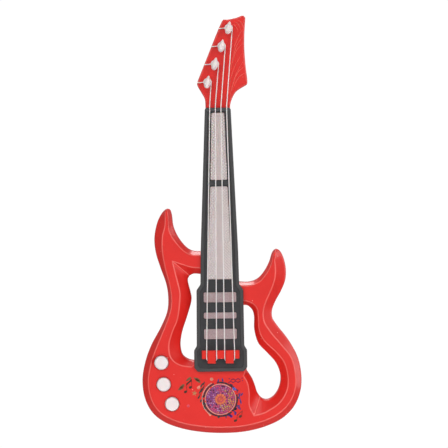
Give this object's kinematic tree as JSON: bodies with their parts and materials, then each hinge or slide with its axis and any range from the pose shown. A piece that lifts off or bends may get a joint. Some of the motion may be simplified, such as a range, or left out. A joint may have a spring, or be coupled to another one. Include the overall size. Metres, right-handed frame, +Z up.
{
  "type": "toy electric guitar",
  "caption": "Toy electric guitar with a red plastic body, a dark fretless neck plate with light windows, nylon strings on turning pegs and sound buttons.",
  "frame": {"origin": "centre of the guitar's bounding box", "axes": "+Z up the neck to the headstock, -Y out of the face where the strings are, +X to the right of someone looking at the face"},
  "size_m": [0.1597, 0.0384, 0.4183],
  "materials": {
    "red_body": "satin moulded ABS with a fine texture",
    "dark_plate": "matt moulded plastic",
    "clear_window": "translucent, smoky pink",
    "ivory": "satin moulded plastic",
    "nylon": "clear-white monofilament",
    "steel": "plated steel",
    "rubber": "soft conductive rubber",
    "black_plastic": "matt",
    "board_green": "printed circuit board with green mask",
    "led_red": "clear red lens",
    "paper_cone": "pressed black paper",
    "cell_wrap": "plain wrapped steel can",
    "wire_red": "PVC insulation",
    "wire_black": "PVC insulation",
    "wire_yellow": "PVC insulation",
    "wire_grey": "PVC insulation"
  },
  "bodies": {
    "guitar_body": {"front_shell": "red_body", "back_shell": "red_body", "neck_plate": "dark_plate", "upper_light_window": "clear_window", "lower_light_window": "clear_window", "pickup_window_1": "clear_window", "pickup_window_2": "clear_window", "pickup_window_3": "clear_window", "bridge": "red_body", "string_loop_left": "nylon", "string_loop_right": "nylon", "sound_board": "board_green", "sound_chip": "black_plastic", "light_board": "board_green", "light_led_1": "led_red", "light_led_2": "led_red", "light_led_3": "led_red", "light_led_4": "led_red", "speaker_frame": "steel", "speaker_cone": "paper_cone", "speaker_magnet": "steel", "speaker_ring": "black_plastic", "battery_cell_1": "cell_wrap", "battery_cell_2": "cell_wrap", "battery_cell_3": "cell_wrap", "battery_spring_1": "steel", "battery_spring_2": "steel", "battery_spring_3": "steel", "battery_contact_left": "steel", "battery_contact_right": "steel", "power_switch_body": "steel", "case_screw_1": "steel", "case_screw_2": "steel", "case_screw_3": "steel", "case_screw_4": "steel", "case_screw_5": "steel", "case_screw_6": "steel", "case_screw_7": "steel", "battery_wire_red": "wire_red", "battery_wire_black": "wire_black", "speaker_wire": "wire_yellow", "light_wire": "wire_grey"},
    "peg_1": {"tuning_peg_1": "ivory", "peg_screw_1": "steel"},
    "peg_2": {"tuning_peg_2": "ivory", "peg_screw_2": "steel"},
    "peg_3": {"tuning_peg_3": "ivory", "peg_screw_3": "steel"},
    "peg_4": {"tuning_peg_4": "ivory", "peg_screw_4": "steel"},
    "button_1": {"sound_button_1": "ivory", "button_pad_1": "rubber"},
    "button_2": {"sound_button_2": "ivory", "button_pad_2": "rubber"},
    "button_3": {"sound_button_3": "ivory", "button_pad_3": "rubber"},
    "battery_door": {"battery_door": "red_body"},
    "door_screw": {"battery_door_screw": "steel"},
    "power_switch": {"power_switch_knob": "black_plastic"}
  },
  "joints": [
    {"name": "peg_1_turn", "type": "hinge", "parent": "guitar_body", "child": "peg_1", "pos_m": [0.0108, -0.00775, 0.1964], "axis": [0, -1, 0], "continuous": true},
    {"name": "peg_2_turn", "type": "hinge", "parent": "guitar_body", "child": "peg_2", "pos_m": [0.0036, -0.00775, 0.1785], "axis": [0, -1, 0], "continuous": true},
    {"name": "peg_3_turn", "type": "hinge", "parent": "guitar_body", "child": "peg_3", "pos_m": [-0.0033, -0.00775, 0.1606], "axis": [0, -1, 0], "continuous": true},
    {"name": "peg_4_turn", "type": "hinge", "parent": "guitar_body", "child": "peg_4", "pos_m": [-0.0109, -0.00775, 0.1425], "axis": [0, -1, 0], "continuous": true},
    {"name": "button_1_press", "type": "slide", "parent": "guitar_body", "child": "button_1", "axis": [0, 1, 0], "range_m": [0, 0.0012], "stiffness_N_per_m": 300},
    {"name": "button_2_press", "type": "slide", "parent": "guitar_body", "child": "button_2", "axis": [0, 1, 0], "range_m": [0, 0.0012], "stiffness_N_per_m": 300},
    {"name": "button_3_press", "type": "slide", "parent": "guitar_body", "child": "button_3", "axis": [0, 1, 0], "range_m": [0, 0.0012], "stiffness_N_per_m": 300},
    {"name": "battery_door_open", "type": "hinge", "parent": "guitar_body", "child": "battery_door", "pos_m": [0.0238, 0.01925, -0.17475], "axis": [0, 0, -1], "range_deg": [0, 45]},
    {"name": "door_screw_turn", "type": "hinge", "parent": "battery_door", "child": "door_screw", "pos_m": [-0.0385, 0.01925, -0.1747], "axis": [0, 1, 0], "continuous": true},
    {"name": "power_switch_slide", "type": "slide", "parent": "guitar_body", "child": "power_switch", "axis": [1, 0, 0], "range_m": [0, 0.004]}
  ]
}
